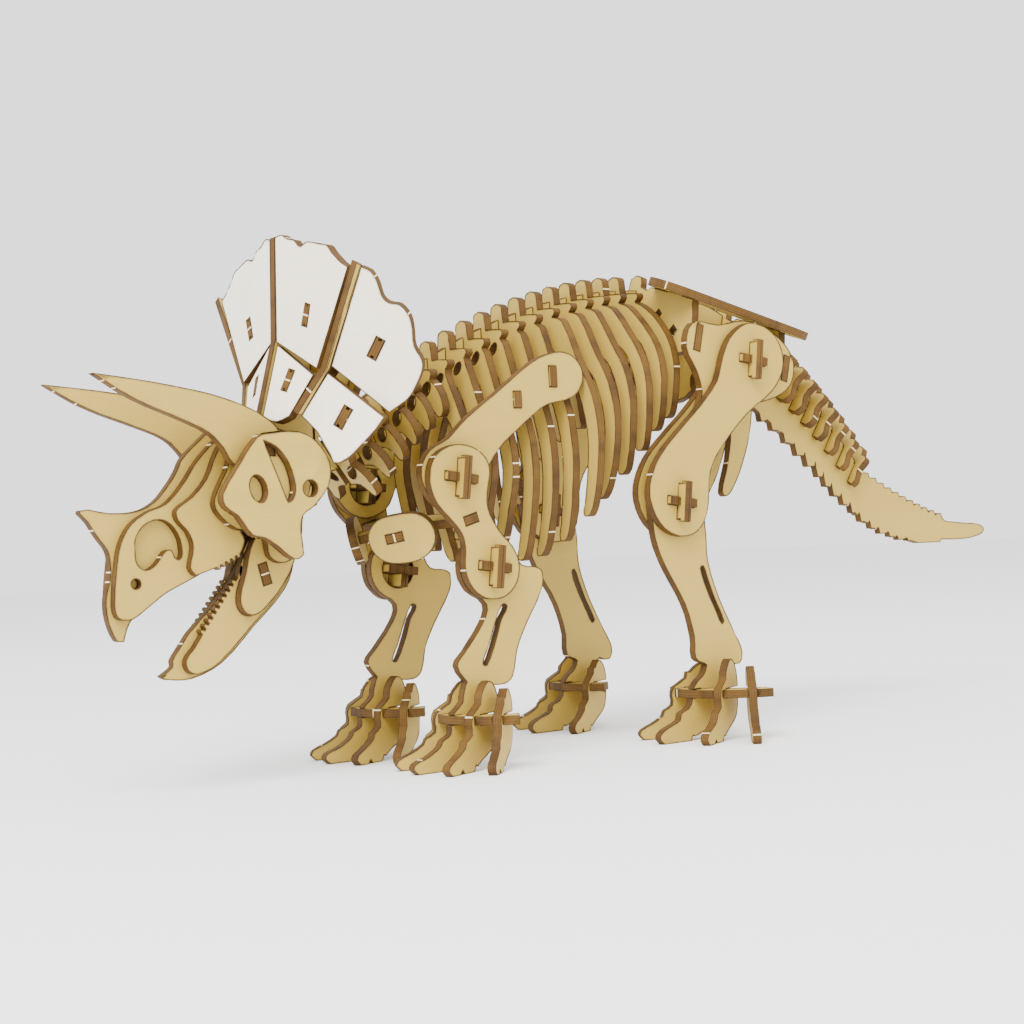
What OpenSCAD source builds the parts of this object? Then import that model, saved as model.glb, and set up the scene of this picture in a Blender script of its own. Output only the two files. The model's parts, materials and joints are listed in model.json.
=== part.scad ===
// Wooden 3-D jigsaw model: a triceratops skeleton slotted together from flat laser-cut
// plywood plates. The head points to -X, the tail to +X, the model's left side is -Y,
// the feet stand on Z = 0. All lengths in millimetres.

/* [Sheet] */
// thickness of the plywood sheet
ply = 2.5; // [2.1:0.05:2.7]
// play added on each side of a plate that sits in a slot
slot_fit = 0.1; // [0.05:0.01:0.16]
// air gap between two plates that turn against each other
turn_gap = 0.3; // [0.24:0.01:0.4]

/* [Body] */
// distance from the shoulder axle to the hip axle
back_len = 107; // [90:1:129]
// height of the highest neural tab above the ground
crest_h = 145; // [143:0.5:149]
// half distance between the two shoulder blades, to the middle of the plate
shoulder_half = 23.45; // [23.2:0.05:28.5]
// half distance between the two pelvis side plates, to the middle of the plate
hip_half = 31.5; // [30.5:0.1:38]
// width of one rib band near the spine
rib_band = 6.5; // [5.4:0.1:7.8]
// half width of the transverse processes of the back
process_half = 11.5; // [9.6:0.1:13]
// width of the rounded tab on top of each rib plate
tab_w = 6; // [5:0.1:7.2]

/* [Axles] */
// bore in the plates that turn on a cross axle
axle_bore = 11; // [9.2:0.1:12]
// radial play between cross axle and bore
axle_play = 0.05; // [0.02:0.01:0.1]
// lean of the cross axles as seen from the side
axle_lean = 8; // [0:1:20]

/* [Skull] */
// sideways flare of the brow horns
horn_flare = 5; // [2:0.5:6]
// width of the oval eye opening
eye_w = 5; // [4.2:0.1:6]
// diameter of the round opening in the cheek
cheek_hole_d = 4.4; // [3.6:0.1:5.2]
// number of teeth on each tooth row
teeth = 10; // [8:1:12]
// diameter of the jaw pin
jaw_pin_d = 4; // [3.4:0.1:4.8]

/* [Feet] */
// angle between neighbouring toes of a front foot
front_fan = 20; // [17:1:21]
// angle between neighbouring toes of a rear foot
rear_fan = 25; // [20:1:28]
// radius of the curved front edge of the toe bars
bar_r = 24; // [20:0.5:25]
// height of the toe bars above the ground, to their middle
bar_h = 14; // [13:0.1:15.5]
// width of the toe bars, fore and aft
bar_w = 7; // [5.8:0.1:8.4]

/* [Tail] */
// number of separate tail vertebra plates
tail_count = 9; // [7:1:9]
// half width of the first tail vertebra plate
tail_half = 10; // [8.4:0.1:12]

/* [Hidden] */
wood = [0.85, 0.77, 0.60];
pale = [0.90, 0.84, 0.70];
lap = 0.02;
slot = ply + 2 * slot_fit;
stretch = back_len - 107;
tail_tip = 254.6 + stretch;
horn_tip = -102.9;
mid_x = (tail_tip + horn_tip) / 2;
shoulder = [1, 81.5];
elbow = [11, 56];
bar_at = [3.9, 69.7];
hip = [1 + back_len, 115];
knee = [75.5 + stretch, 72];
jaw_at = [-46, 65.5];
arm_y = shoulder_half + ply + turn_gap;
thigh_out = hip_half + ply + turn_gap;
thigh_in = hip_half - ply - turn_gap;
strip_w = 2 * sqrt(pow(axle_bore / 2 - axle_play, 2) - pow(ply / 2, 2));
rib_n = 12;
rib_x0 = 11;
rib_pitch = (back_len - 33.6) / 11;
pelvis_pitch = 14;
roof = 18;

// ---------------------------------------------------------------- outline helpers
// A closed smooth curve through points; a third value of 1 marks a sharp corner.
function unit(v) = norm(v) == 0 ? [0, 0] : v / norm(v);
function xy(p) = [p[0], p[1]];
function run(p, i) = let (n = len(p), a = xy(p[(i + n - 1) % n]), b = xy(p[(i + 1) % n]))
  p[i][2] == 1 ? [0, 0] : unit(b - a);
function hop(a, b, u, v, s) = let (d = norm(b - a))
  a * (2 * s * s * s - 3 * s * s + 1) + u * d * (s * s * s - 2 * s * s + s)
  + b * (3 * s * s - 2 * s * s * s) + v * d * (s * s * s - s * s);
function smooth(p, k = 3) = [for (i = [0 : len(p) - 1]) let (n = len(p), j = (i + 1) % n,
  a = xy(p[i]), b = xy(p[j]), u = run(p, i), v = run(p, j), m = (u == [0, 0] && v == [0, 0]) ? 1 : k)
  for (t = [0 : m - 1]) hop(a, b, u, v, t / m)];
function arc(c, r, a0, a1, n = 12) = [for (i = [0 : n]) let (a = a0 + (a1 - a0) * i / n)
  c + r * [cos(a), sin(a)]];
function flip(p) = [for (i = [len(p) - 1 : -1 : 0]) [-p[i][0], p[i][1], p[i][2]]];
function both(p) = concat(p, flip(p));

// plate standing along the model, its middle at y
module side(y) {
  translate([0, y + ply / 2, 0]) rotate([90, 0, 0]) linear_extrude(ply) children();
}
// plate standing across the model at (x, z), leaning back by a
module cross(x, z, a = 0) {
  translate([x, 0, z]) rotate([0, a, 0]) translate([-ply / 2, 0, 0])
    rotate([90, 0, 90]) linear_extrude(ply) children();
}
// window for a plate or tenon, centred on p
module hole(p, w, h, a = 0, f = slot_fit) {
  translate(p) rotate(a) square([w + 2 * f, h + 2 * f], center = true);
}
module whole() { translate([-mid_x, 0, 0]) children(); }
module left() { whole() children(); }
module right() { whole() mirror([0, 1, 0]) children(); }
module both_sides() { children(); mirror([0, 1, 0]) children(); }

// ---------------------------------------------------------------- spine, neck and ribs
function rib_x(i) = rib_x0 + i * rib_pitch;
function top_z(i) = crest_h - 22 * pow((12 - i) / 12, 1.9);
// neck vertebrae run forward and down from the first rib
neck_n = 6;
function neck_at(i) = [rib_x0 - 6.3 * i, top_z(0) - 3.2 * i - 0.26 * i * i];
function neck_lean(i) = -6 * i;

module along(at, a) { translate(at) rotate(-a) children(); }

module spine_2d() {
  difference() {
    union() {
      polygon(smooth(concat(
        [[-29.8, 84.5, 1], [-29.8, 98.5, 1], [-20, 101.5], [-8, 109.5]],
        [for (i = [0 : 2 : 10]) [rib_x(i), top_z(i) - 4.5]],
        [[hip[0] - 12, top_z(11.6) - 4.3], [hip[0] + 6, 139.2], [hip[0] + 18, 135],
         [hip[0] + 27.8, 129.5, 1], [hip[0] + 27.8, 113.5, 1], [hip[0] + 14, 119],
         [hip[0] - 4, 124.5], [hip[0] - 20, top_z(10.5) - 16]],
        [for (i = [9 : -2 : 1]) [rib_x(i), top_z(i) - 15.5]],
        [[2, 99.5], [-10, 92], [-20, 86.5]])));
      translate([-33.6, 91]) circle(r = 3.4, $fn = 32);
      translate([-31.6, 91]) square([4, 3.4], center = true);
    }
    // tail tab socket
    translate([hip[0] + 24, 121.5]) circle(r = 3.4 + slot_fit, $fn = 32);
    translate([hip[0] + 26.2, 121.5]) square([4, 3.4 + 2 * slot_fit], center = true);
    for (i = [0 : rib_n - 1]) translate([rib_x(i), top_z(i) - 9.2 + 5])
      square([slot, 10], center = true);
    for (i = [1 : neck_n]) along(neck_at(i), neck_lean(i)) translate([0, -8.6 + 5])
      square([slot, 10], center = true);
    for (x = [-20.5, 17]) along(hip, pelvis_pitch) translate([x, 16 + 10])
      square([slot, 20], center = true);
  }
}

module spine_plate() whole() color(wood) side(0) spine_2d();

// right half of a rib plate: w widest half width, yb and d the foot of the rib, q its curl
function curl(t, w, yb, q) = t < 0.6 ? w : yb + (w - yb) * (1 - pow((t - 0.6) / 0.4, q));
function rib_half(w, yb, d, q) = [
  [0, 0], [tab_w / 2 - 0.6, -0.9], [tab_w / 2, -3.4], [tab_w / 2 + 0.3, -6.1, 1],
  [process_half - 0.8, -6.5], [process_half, -7.8], [process_half - 1.4, -9.3, 1],
  [w * 0.5, -10.8], [w * 0.72, -max(0.33 * d, 15)], [w * 0.92, -max(0.48 * d, 21)],
  [w, -0.64 * d], [curl(0.8, w, yb, q), -0.8 * d], [curl(0.93, w, yb, q), -0.93 * d],
  [yb - 0.6, -d + 0.4], [yb - 3.4, -d + 0.5],
  [curl(0.93, w, yb, q) - 4.4, -0.93 * d], [curl(0.8, w, yb, q) - 4.9, -0.8 * d],
  [w - 0.8 * rib_band, -0.64 * d], [w * 0.92 - 0.95 * rib_band, -max(0.48 * d, 21) + 0.6],
  [w * 0.72 - 0.84 * rib_band, -max(0.33 * d, 15) - 0.55 * rib_band], [w * 0.27, -17.6], [0, -16.6]];
rib_form = [[20, 13.5, 64, 1.5], [21.5, 13, 61, 1.5], [22.5, 13, 57.5, 1.6], [23.3, 17, 57, 2],
  [24, 17.5, 58, 2.4], [25.4, 20.5, 62, 2.4], [29.5, 24, 69, 2.4], [29.5, 22.5, 74, 2.4],
  [29, 25, 81, 2.4], [29, 26, 88, 2.4], [28.4, 25, 94, 2.4], [26.8, 23.5, 98, 2.4]];
// ribs that carry the shoulder blades, and the height of their tenons
blade_ribs = [2, 4];
blade_z = [103.6, 110.4];
blade_h = [4.6, 6];

module rib(i) {
  f = rib_form[i];
  cross(rib_x(i), 0) difference() {
    union() {
      translate([0, top_z(i)]) polygon(smooth(both(rib_half(f[0], f[1], top_z(i) - f[2], f[3]))));
      for (k = [0, 1]) if (blade_ribs[k] == i) for (s = [-1, 1])
        translate([s * (shoulder_half - 3.2), blade_z[k]])
          square([6.4 + ply + 1, blade_h[k]], center = true);
    }
    translate([0, top_z(i) - 9.2 - 10]) square([slot, 20], center = true);
    if (i < 4) for (s = [-1, 1]) translate([s * 6.6, top_z(i) - 12]) rotate(s * 38) scale_oval(2.3, 1.3);
  }
}
module scale_oval(a, b) {
  polygon([for (t = [0 : 30 : 330]) [a * cos(t), b * sin(t)]]);
}
module rib_pair(a) whole() color(wood) { rib(a); rib(a + 1); }
module ribs_1() rib_pair(0);
module ribs_2() rib_pair(2);
module ribs_3() rib_pair(4);
module ribs_4() rib_pair(6);
module ribs_5() rib_pair(8);
module ribs_6() rib_pair(10);

function neck_half(g) = [[0, 0], [2.3, -0.9], [2.9, -3.2], [3.2, -5.4, 1], [10 * g, -5.9],
  [11 * g, -7.2], [9.8 * g, -8.7, 1], [12.6 * g, -11], [14.6 * g, -15], [14.4 * g, -18.6],
  [12 * g, -20], [9.4 * g, -17.6], [6, -15.8], [0, -15.2]];
module neck_vertebrae() whole() color(wood)
  for (i = [1 : neck_n]) let (p = neck_at(i), g = 1 - 0.035 * i)
    cross(p[0], p[1], neck_lean(i)) difference() {
      polygon(smooth(both(neck_half(g))));
      translate([0, -8.6 - 10]) square([slot, 20], center = true);
      for (s = [-1, 1]) translate([s * 7.2 * g, -11.4]) rotate(s * 35) scale_oval(2.9, 1.6);
    }

// ---------------------------------------------------------------- shoulder and front legs
module plus(w, h, f = 0) {
  square([w + 2 * f, ply + 2 * f], center = true);
  square([ply + 2 * f, h + 2 * f], center = true);
}
module plus_slot(p) { translate(p) rotate(-axle_lean) plus(strip_w, strip_w, 0.04); }
module bore(p, d = axle_bore) { translate(p) circle(d = d, $fn = 48); }

// two crossed strips, half-lapped; y0 and y1 inner and outer end of the long strip
module cross_axle(p, y0, y1, inset = 2.2, head = 1.6, lean = axle_lean) {
  m = (y0 + y1) / 2;
  translate([p[0], 0, p[1]]) rotate([0, lean, 0]) {
    difference() {
      translate([-strip_w / 2, -(y1 - inset), -ply / 2]) cube([strip_w, y1 - inset - y0 - 1, ply]);
      translate([-slot / 2, -(y1 + 1), -ply]) cube([slot, y1 + 1 - m, 2 * ply]);
    }
    difference() {
      translate([-ply / 2, -y1, -strip_w / 2]) cube([ply, y1 - y0, strip_w]);
      translate([-ply, -m, -slot / 2]) cube([2 * ply, m - y0 + 1, slot]);
    }
    if (head > 0) for (s = [-1, 1])
      translate([-ply / 2, -y1, s > 0 ? strip_w / 2 : -strip_w / 2 - head / 2]) cube([ply, inset, head / 2]);
  }
}

scapula_pts = [[-0.7, 92.7], [5.9, 98.3], [17.7, 106.1], [30.4, 114.6], [39, 117.6], [44.7, 117],
  [48.5, 113.4], [48.8, 108.9], [45, 104.4], [35.2, 102.1], [31.1, 99.9], [23.5, 94.6], [17.8, 90.3],
  [13.5, 85.2], [11.2, 79.6], [7.8, 74.4], [1, 71.9], [-5.6, 74], [-9.6, 79.2], [-10.2, 84.5], [-7, 89.5]];
module scapula() side(-shoulder_half) difference() {
  polygon(smooth(scapula_pts));
  bore(shoulder);
  for (k = [0, 1]) hole([rib_x(blade_ribs[k]), blade_z[k]], ply, blade_h[k]);
}
module scapula_left() left() color(wood) scapula();
module scapula_right() right() color(wood) scapula();

humerus_pts = [[1.4, 90.9], [7.1, 89.4], [10.4, 86.4], [11.3, 82.8], [10.3, 78.5], [9.9, 72.7],
  [13.5, 66.1], [17.8, 61.6], [19.9, 56.7], [18.9, 51.3], [15, 47.6], [10.5, 46.8], [6.1, 47.9],
  [2.4, 51.5], [1, 56.3], [1.4, 62.3], [0.3, 65.9], [-2.1, 68.9], [-7, 74], [-9.1, 78.3],
  [-9.4, 82.2], [-7.9, 86.8], [-3.8, 89.9]];
bar_lean = -15;
module humerus() side(-arm_y) difference() {
  polygon(smooth(humerus_pts));
  plus_slot(shoulder);
  plus_slot(elbow);
  hole(bar_at, 4.5, ply, -bar_lean);
}
module humerus_left() left() color(wood) humerus();
module humerus_right() right() color(wood) humerus();
module shoulder_axle_left() left() color(wood) cross_axle(shoulder, 18.2 * shoulder_half / 23.45, arm_y + 4.75);
module shoulder_axle_right() right() color(wood) cross_axle(shoulder, 18.2 * shoulder_half / 23.45, arm_y + 4.75);
module elbow_axle_left() left() color(wood) cross_axle(elbow, 18.2 * shoulder_half / 23.45, arm_y + 4.75);
module elbow_axle_right() right() color(wood) cross_axle(elbow, 18.2 * shoulder_half / 23.45, arm_y + 4.75);

// flat strip between the upper arms with two prongs for the breast plates
prong = [12.5, 8.6];
prong_a = 38;
module humerus_bar() whole() color(wood)
  translate([bar_at[0], 0, bar_at[1]]) rotate([0, bar_lean, 0]) translate([0, 0, -ply / 2])
    linear_extrude(ply) union() {
      square([4.5, 2 * (arm_y + ply / 2)], center = true);
      square([8, 2 * (arm_y - ply / 2)], center = true);
      for (s = [-1, 1]) translate([-prong[0], s * prong[1]]) rotate(-s * prong_a) {
        translate([-2 - ply, -2.5]) square([2 + ply + lap, 5]);
        translate([-2, -4.2]) square([14, 8.4]);
      }
    }
coracoid_pts = [[0, 7], [6, 6.6], [9.8, 3.2], [10, -1.5], [7, -5.6], [1, -7.2], [-5, -6.6],
  [-9, -3], [-9.4, 2], [-6, 6]];
module coracoids() whole() color(wood) both_sides()
  translate([bar_at[0], 0, bar_at[1]]) rotate([0, bar_lean, 0])
    translate([-prong[0], -prong[1], 0]) rotate([0, 0, prong_a])
      translate([-2 - ply - 0.02, 0, 0]) rotate([90, 0, 90]) linear_extrude(ply) difference() {
        translate([-2.4, -0.6]) polygon(smooth(coracoid_pts));
        square([5 + 2 * slot_fit, ply + 2 * slot_fit], center = true);
      }

forearm_pts = [[10, 65.7], [17, 64.2], [20.3, 60.2], [22.8, 56.1], [28, 55.2], [30.2, 53.6], [29.6, 48.5],
  [23.6, 39.2], [19.8, 32.2], [17.6, 24.4], [14.4, 22.4], [8.6, 22.8, 1], [7.6, 20.2], [8.2, 14], [7, 7.4],
  [2.6, 4.4], [-1, 2.8], [-3.4, 1.4, 1], [-4.4, 1.8, 1], [-5.4, 0, 1], [-16, 0, 1], [-17.8, 1.6], [-17, 3.2],
  [-12.8, 4.6], [-8.7, 7], [-7.7, 8.6], [-5, 10.1], [-4.7, 13], [-3.9, 15.4], [-0.4, 18.6], [0, 20.6],
  [1, 23.4, 1], [1.6, 24.2, 1], [-1.6, 28.9], [1.4, 32.6], [8.2, 40.6], [9.6, 45.4],
  [3.8, 49.6], [1.2, 54.8], [2.6, 61.4]];
module forearm() side(-shoulder_half) difference() {
  polygon(smooth(forearm_pts));
  bore(elbow);
  polygon(smooth([[16.8, 44.4], [14.6, 41], [12.2, 35], [8.8, 28.4], [7.4, 28.9], [9.6, 33.4],
    [12.4, 40], [15.2, 45]]));
  own_notch(front_x);
}
// a leg's own toe takes the back half of the toe bar in a slot that opens forwards
module own_notch(x) {
  translate([x + bar_w / 2 - 10, bar_h]) square([20, slot], center = true);
}
module forearm_left() left() color(wood) forearm();
module forearm_right() right() color(wood) forearm();

// loose toe plate: x = 0 at the front edge of the toe bar, tip at -len, heel raised
function toe_pts(l, h) = [[8.4, h], [11.4, h - 2], [12.8, 17.4], [12.6, 12.4], [11, 7], [7.4, 4.6], [3.4, 2.8],
  [1, 1.4, 1], [0.2, 1.8, 1], [-0.06 * l, 0, 1], [-0.44 * l, 0, 1], [-0.5 * l, 1.2], [-0.56 * l, 0, 1],
  [-0.86 * l, 0, 1], [-l, 1.5], [-0.94 * l, 3.2], [-0.66 * l, 4.8], [-0.36 * l, 7], [-0.3 * l, 8.6],
  [-0.9, 10.2], [-1, 13], [-0.2, 15.6], [3.8, 18.2], [4.2, 20], [5.4, h - 2.4]];
// half lap with the toe bar: the toe's slot opens backwards, the bar's forwards
module toe(cx, r, l, h) {
  translate([cx - r, 0]) rotate([90, 0, 0]) translate([0, 0, -ply / 2]) linear_extrude(ply) difference() {
    polygon(smooth(toe_pts(l, h), 2));
    translate([bar_w / 2 + 10, bar_h]) square([20, slot], center = true);
  }
}
// fan of toes on a curved bar: x and y of the leg's own toe at the bar's front edge, the
// other toes at the angles as, with their lengths ls and heights hs
module toe_fan(x, y, r, as, ls, hs) translate([x + r, y, 0]) {
  for (i = [0 : len(as) - 1]) rotate([0, 0, as[i]]) toe(0, r, ls[i], hs[i]);
  translate([0, 0, bar_h - ply / 2]) linear_extrude(ply) difference() {
    a0 = min(as) - 15;
    a1 = max(as) + 15;
    polygon([for (k = [0 : 16]) let (a = a0 + (a1 - a0) * k / 16) -r * [cos(a), sin(a)],
      for (k = [16 : -1 : 0]) let (a = a0 + (a1 - a0) * k / 16) -(r - bar_w) * [cos(a), sin(a)]]);
    for (a = as) rotate(a) translate([-r + bar_w / 2 - 9.9, 0]) square([20, slot], center = true);
    translate([-r + bar_w / 2 + 4.9, 0]) square([10, slot], center = true);
  }
}
front_x = -4.5;
module front_foot() toe_fan(front_x, -shoulder_half, bar_r, [for (i = [-2, -1, 1, 2]) i * front_fan],
  [9.2, 12.6, 12.6, 9.2], [22.2, 24.4, 24.4, 22.2]);
module front_foot_left() left() color(wood) front_foot();
module front_foot_right() right() color(wood) front_foot();

// ---------------------------------------------------------------- pelvis and rear legs
function back(p) = [for (q = p) [q[0] + stretch, q[1], q[2]]];
module in_pelvis() { translate([hip[0], 0, hip[1]]) rotate([0, pelvis_pitch, 0]) children(); }

function roof_z(y) = 14.1 - ply / 2 - 0.06 + tan(roof) * (34 * hip_half / 31.5 - y);
module pelvis_wall(x, lower) in_pelvis() translate([x - ply / 2, 0, 0]) rotate([90, 0, 90])
  linear_extrude(ply) difference() {
    union() {
      polygon(smooth(both([[0, 26.2], [tab_w / 2 - 0.5, 25.3], [tab_w / 2, 22, 1], [6, roof_z(6) - 1.4, 1],
        [8, roof_z(8), 1], [hip_half - 2.4, roof_z(hip_half - 2.4), 1], [hip_half - 1.5, 9],
        [hip_half - ply / 2, 6, 1], [hip_half + ply / 2, 6, 1], [hip_half + ply / 2, -2, 1],
        [hip_half - ply / 2, -2, 1], [hip_half - 5, lower, 1], [16, lower], [10, lower + 3],
        [6, 7.5], [0, 8.5]]), 2));
      for (s = [-1, 1]) translate([s * 20, roof_z(20)]) rotate(-s * roof)
        translate([-4, -1]) square([8, ply + 1]);
    }
    translate([0, 16 - 10]) square([slot, 20], center = true);
    for (s = [-1, 1]) {
      translate([s * 13.2, 11.5]) rotate(45) square(2.6, center = true);
      translate([s * 21.5, 5]) rotate(45) square(3, center = true);
      if (x > 0) translate([s * 5.4, lower + 1.4 - 10]) square([slot, 20], center = true);
    }
  }
module pelvis_frame() whole() color(wood) { pelvis_wall(-20.5, -2.4); pelvis_wall(17, -4.5); }

side_pts = [[86.5, 126.4], [97, 126], [108, 127.6], [117, 125.4], [125.4, 120.4], [128.8, 114.6],
  [126.8, 107.6], [120, 103.6], [110, 101.2], [102.8, 97.4], [98.4, 90.8], [92, 88.4], [86.6, 91.8],
  [85.8, 98], [88.8, 105], [87, 112], [83.4, 118.8]];
module pelvis_sides() whole() color(wood) both_sides() side(-hip_half) difference() {
  polygon(smooth(back(side_pts)));
  bore(hip);
  for (x = [-20.5, 17]) along(hip, pelvis_pitch) hole([x, 2], ply, 8);
}

blade_pts = [[-32.4, -2], [-30, -8], [-20, -10], [0, -10.6], [20, -11], [27, -8], [29.4, 0],
  [27, 7.5], [18, 10.5], [4, 12.5], [-10, 14], [-22, 13], [-30, 6]];
module ilium_blades() whole() color(wood) both_sides() in_pelvis()
  translate([0, -20, roof_z(20) + 0.03]) rotate([roof, 0, 0]) linear_extrude(ply) difference() {
    polygon(smooth([for (p = blade_pts) [p[0], (p[1] - 2.4)]]));
    for (x = [-20.5, 17]) hole([x, 0], ply, 8);
  }

ischium_pts = [[119.8, 113.5], [124, 117], [129.5, 116.4], [133.6, 112], [134.6, 104], [133, 94],
  [129, 84], [124.4, 76.4], [121, 73.6], [119.4, 75.4], [122, 83], [124.2, 92], [124.2, 100],
  [121, 106.4]];
module ischia() whole() color(wood) both_sides() side(-5.4) difference() {
  polygon(smooth(back(ischium_pts)));
  along(hip, pelvis_pitch) translate([17, -4.5 + 1.4 + 10]) square([slot, 20], center = true);
}

femur_pts = [[108.6, 126.6], [103.6, 125.2], [98.8, 121.4], [95.4, 115.4], [92.7, 108.5], [85, 100.6],
  [76, 93.2], [68.3, 86.2], [64.1, 79.2], [63.4, 73], [66.8, 65.8], [72.9, 62], [79.6, 62],
  [84.4, 65.6], [86.6, 71.4], [88, 80.7], [93, 87.9], [104.8, 98.4], [116, 105.4], [120.9, 112],
  [120.9, 118.6], [116.4, 124.2]];
module femur() for (y = [thigh_out, thigh_in]) side(-y) difference() {
  polygon(smooth(back(femur_pts)));
  plus_slot(hip);
  plus_slot(knee);
}
module femur_left() left() color(wood) femur();
module femur_right() right() color(wood) femur();
module rear_axle(p) cross_axle(p, thigh_in - 3.7, thigh_out + 4.5, 2);
module hip_axle_left() left() color(wood) rear_axle(hip);
module hip_axle_right() right() color(wood) rear_axle(hip);
module knee_axle_left() left() color(wood) rear_axle(knee);
module knee_axle_right() right() color(wood) rear_axle(knee);

shin_pts = [[75.5, 81.2], [69.4, 78.8], [66.4, 73.4], [66.2, 66.4], [67.6, 58.9], [71, 51.8],
  [77.4, 41.2], [80.4, 31.2], [80.6, 24.6], [84, 22.8, 1], [84.8, 22.2, 1], [83.4, 19.6], [80.4, 17.4],
  [78.4, 14.6], [78, 11.6], [76.4, 9.8], [73.6, 8.6], [72.8, 6.6], [68.6, 5], [65.4, 3.4], [64.8, 1.6],
  [66.4, 0, 1], [77, 0, 1], [77.8, 1.6, 1], [78.8, 1.2, 1], [83, 2.6], [88, 4.4], [91.2, 8.4], [92.2, 14],
  [92, 20.2, 1], [94.2, 22.4, 1], [98.4, 21.6], [99.8, 25.4], [97.4, 30.6], [91.4, 42.2], [87.6, 53.6], [87.4, 62], [86.2, 72], [82.4, 78.8]];
module shin() side(-hip_half) difference() {
  polygon(smooth(back(shin_pts)));
  bore(knee);
  polygon(smooth(back([[84.4, 51.6], [86.6, 45], [90, 38], [91.8, 34.4], [92.8, 35.2], [89.6, 42],
    [87.2, 48], [85.6, 52.2]])));
  own_notch(rear_x);
}
module shin_left() left() color(wood) shin();
module shin_right() right() color(wood) shin();
rear_x = 78.4 + stretch;
module rear_foot() toe_fan(rear_x, -hip_half, bar_r, [-rear_fan, rear_fan, 2 * rear_fan],
  [11.6, 12.4, 10.4], [22.4, 24, 21.6]);
module rear_foot_left() left() color(wood) rear_foot();
module rear_foot_right() right() color(wood) rear_foot();

// ---------------------------------------------------------------- tail
function tail_c(k) = [151.3 + 5.25 * k + stretch, 115.5 - 3.6 * k - 0.17 * k * k];
tail_lean = 35;
// hooked lower edge: pairs of tip and notch from the root to the end
hook_tips = [[213.6, 55.3], [208.6, 55.8], [204.2, 57.1], [199.3, 58.4], [195, 60.4], [190, 63],
  [185.8, 66.2], [181.7, 69.1], [177.2, 72.3], [173.5, 75.7], [169.9, 79.1], [165.1, 82.8],
  [160.4, 86.6], [155.1, 91], [149.4, 95.3], [144.4, 98.4]];
module tail_plate() whole() color(wood) side(0) translate([stretch, 0]) difference() {
  union() {
    polygon(concat(
      smooth([[136, 127.6, 1], [145, 124.2], [158, 115.6], [170, 104.6], [180, 93.4], [189.5, 82.6, 1],
        [189.5, 70, 1], [136, 106, 1]], 3),
      []));
    polygon(concat(
      [[150, 104], [180, 92]],
      [for (i = [0 : 11]) each let (x = 189 + 3.7 * i, z = 82.2 - 1.85 * i + 0.042 * i * (i - 5))
        [[x, z], [x + 1.6, z - 0.2], [x + 2.2, z - 1.9]]],
      smooth([[233.5, 61.6, 1], [243.4, 60.6], [251.4, 59.8], [254.6, 57.6], [250.1, 55.4], [242, 54.6],
        [231, 55, 1], [229.7, 54, 1], [218.4, 54.2, 1]], 3),
      [for (i = [0 : len(hook_tips) - 1]) each let (p = hook_tips[i], g = 0.6 + 0.28 * min(i, 10))
        [p + [0.9, -0.1], p + [-0.6, 0], p + [-0.5 - 0.3 * g, 1.1 * g], p + [-1.4, 1.6 * g],
         p + [-2.2 + 0.1 * g, 1.1 * g]]],
      [[136.1, 104.4]]));
    translate([132 - 0.1, 121.5]) circle(r = 3.4, $fn = 32);
    translate([134.2, 121.5]) square([4.4, 3.4], center = true);
  }
  for (k = [8 - tail_count : 7]) translate([-stretch, 0]) along(tail_c(k), tail_lean)
    translate([0, 1 + 10]) square([slot, 20], center = true);
}
module tail_vertebrae() whole() color(wood)
  for (k = [8 - tail_count : 7]) let (p = tail_c(k), g = 1 - 0.055 * (k + 1), w = tail_half * g, h = 9.4 - 0.14 * k)
    cross(p[0], p[1], tail_lean) difference() {
      polygon(smooth(both([[0, h], [2, h - 0.7], [2.7, h - 3], [3, h - 4, 1], [w * 0.86, h - 4.6],
        [w, h - 6.4], [w * 0.82, h - 8.6], [w * 0.72, -2], [w * 0.86, -6], [w * 0.6, -h + 0.6], [2.4, -h + 1.4],
        [0, -h + 1.6]]), 2));
      translate([0, 1 - 10]) square([slot, 20], center = true);
    }

// ---------------------------------------------------------------- skull
bar_1 = [-53, 92];
bar_2 = [-41.5, 87.5];
bar_3 = [-57, 73.4];
module bar_holes(set = [0, 1, 2], f = slot_fit) {
  for (k = set) hole([bar_1, bar_2, bar_3][k], 2.5, 5.4, 0, f);
}
frill_foot = 77;
arch_x = -28.7;
arch_r = [[50, 57], [33, 39]];

core_pts = [[-101.4, 76.8], [-99.2, 73.6], [-96.6, 69.4], [-94.2, 66], [-93.6, 62], [-93.8, 58.8],
  [-95.3, 53.4], [-95, 47.9], [-92.8, 42.4], [-90.7, 42, 1], [-88.8, 46.9], [-84.6, 50.2], [-75, 55.6],
  [-66, 60], [-60, 64], [-57.6, 68], [-54, 73], [-46, 75.2], [-37.6, 73.8], [-30.2, 76, 1],
  [-30.2, 104, 1], [-26.4, 108, 1], [-26.4, 138, 1], [-29, 146], [-35, 151.4], [-39.6, 151, 1],
  [-41, 122.4, 1], [-46.9, 101.4, 1], [-52, 101.6], [-60, 99], [-66, 94.6], [-71.4, 89.7], [-73.2, 86.4],
  [-76.1, 82.5], [-80.1, 78.4], [-85.6, 76.1], [-93.4, 75.9]];
module skull_core() whole() color(wood) side(0) difference() {
  polygon(smooth(core_pts));
  bar_holes();
  translate([-33.6, 91]) circle(r = 3.4 + slot_fit, $fn = 32);
  translate([-31.6, 91]) square([4.4, 3.4 + 2 * slot_fit], center = true);
  for (r = arch_r) translate([arch_x - slot / 2, frill_foot + r[0] - slot_fit])
    square([20, r[1] - r[0] + 2 * slot_fit]);
}

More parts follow.
